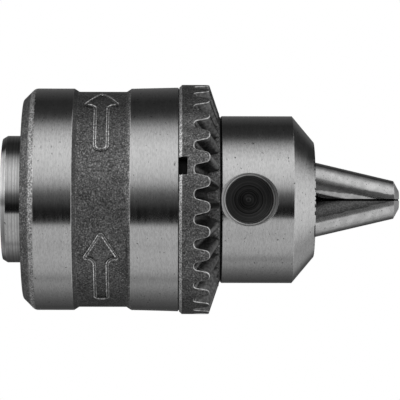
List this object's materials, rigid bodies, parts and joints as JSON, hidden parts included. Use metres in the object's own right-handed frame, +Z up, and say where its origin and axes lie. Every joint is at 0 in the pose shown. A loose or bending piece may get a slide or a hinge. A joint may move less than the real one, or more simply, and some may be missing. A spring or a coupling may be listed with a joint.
{
  "type": "keyed drill chuck",
  "caption": "Keyed three-jaw drill chuck with a threaded rear mount, a geared sleeve and round jaws that slide out of a cone-nosed steel body to grip a drill's shank.",
  "frame": {"origin": "centre of the spindle thread's mouth, on the hub's rear face", "axes": "+X along the chuck's axis towards the jaws' tips, -Y out of the near key hole, +Z up"},
  "size_m": [0.0671, 0.039, 0.039],
  "materials": {
    "ground_steel": "turned and ground",
    "jaw_steel": "hardened, ground round",
    "nut_steel": "dark, oiled",
    "sleeve_steel": "grainy with two ground bands",
    "ring_steel": "grainy, satin"
  },
  "bodies": {
    "body": {"body": "ground_steel"},
    "sleeve": {"sleeve": "sleeve_steel", "gear_ring": "ring_steel", "nut_half_a": "nut_steel", "nut_half_b": "nut_steel"},
    "jaw_1": {"jaw_1": "jaw_steel"},
    "jaw_2": {"jaw_2": "jaw_steel"},
    "jaw_3": {"jaw_3": "jaw_steel"}
  },
  "joints": [
    {"name": "sleeve_turn", "type": "hinge", "parent": "body", "child": "sleeve", "pos_m": [0, 0, 0], "axis": [1, 0, 0], "range_deg": [0, 4265]},
    {"name": "jaw_1_slide", "type": "slide", "parent": "body", "child": "jaw_1", "axis": [-0.9659, -0.1294, 0.2241], "range_m": [0, 0.01778]},
    {"name": "jaw_2_slide", "type": "slide", "parent": "body", "child": "jaw_2", "axis": [-0.9659, -0.1294, -0.2241], "range_m": [0, 0.01778]},
    {"name": "jaw_3_slide", "type": "slide", "parent": "body", "child": "jaw_3", "axis": [-0.9659, 0.2588, 0], "range_m": [0, 0.01778]}
  ],
  "couplings": [
    {"joint": "jaw_1_slide", "follows": "sleeve_turn", "m_per_rad": 0.00023873},
    {"joint": "jaw_2_slide", "follows": "sleeve_turn", "m_per_rad": 0.00023873},
    {"joint": "jaw_3_slide", "follows": "sleeve_turn", "m_per_rad": 0.00023873}
  ]
}
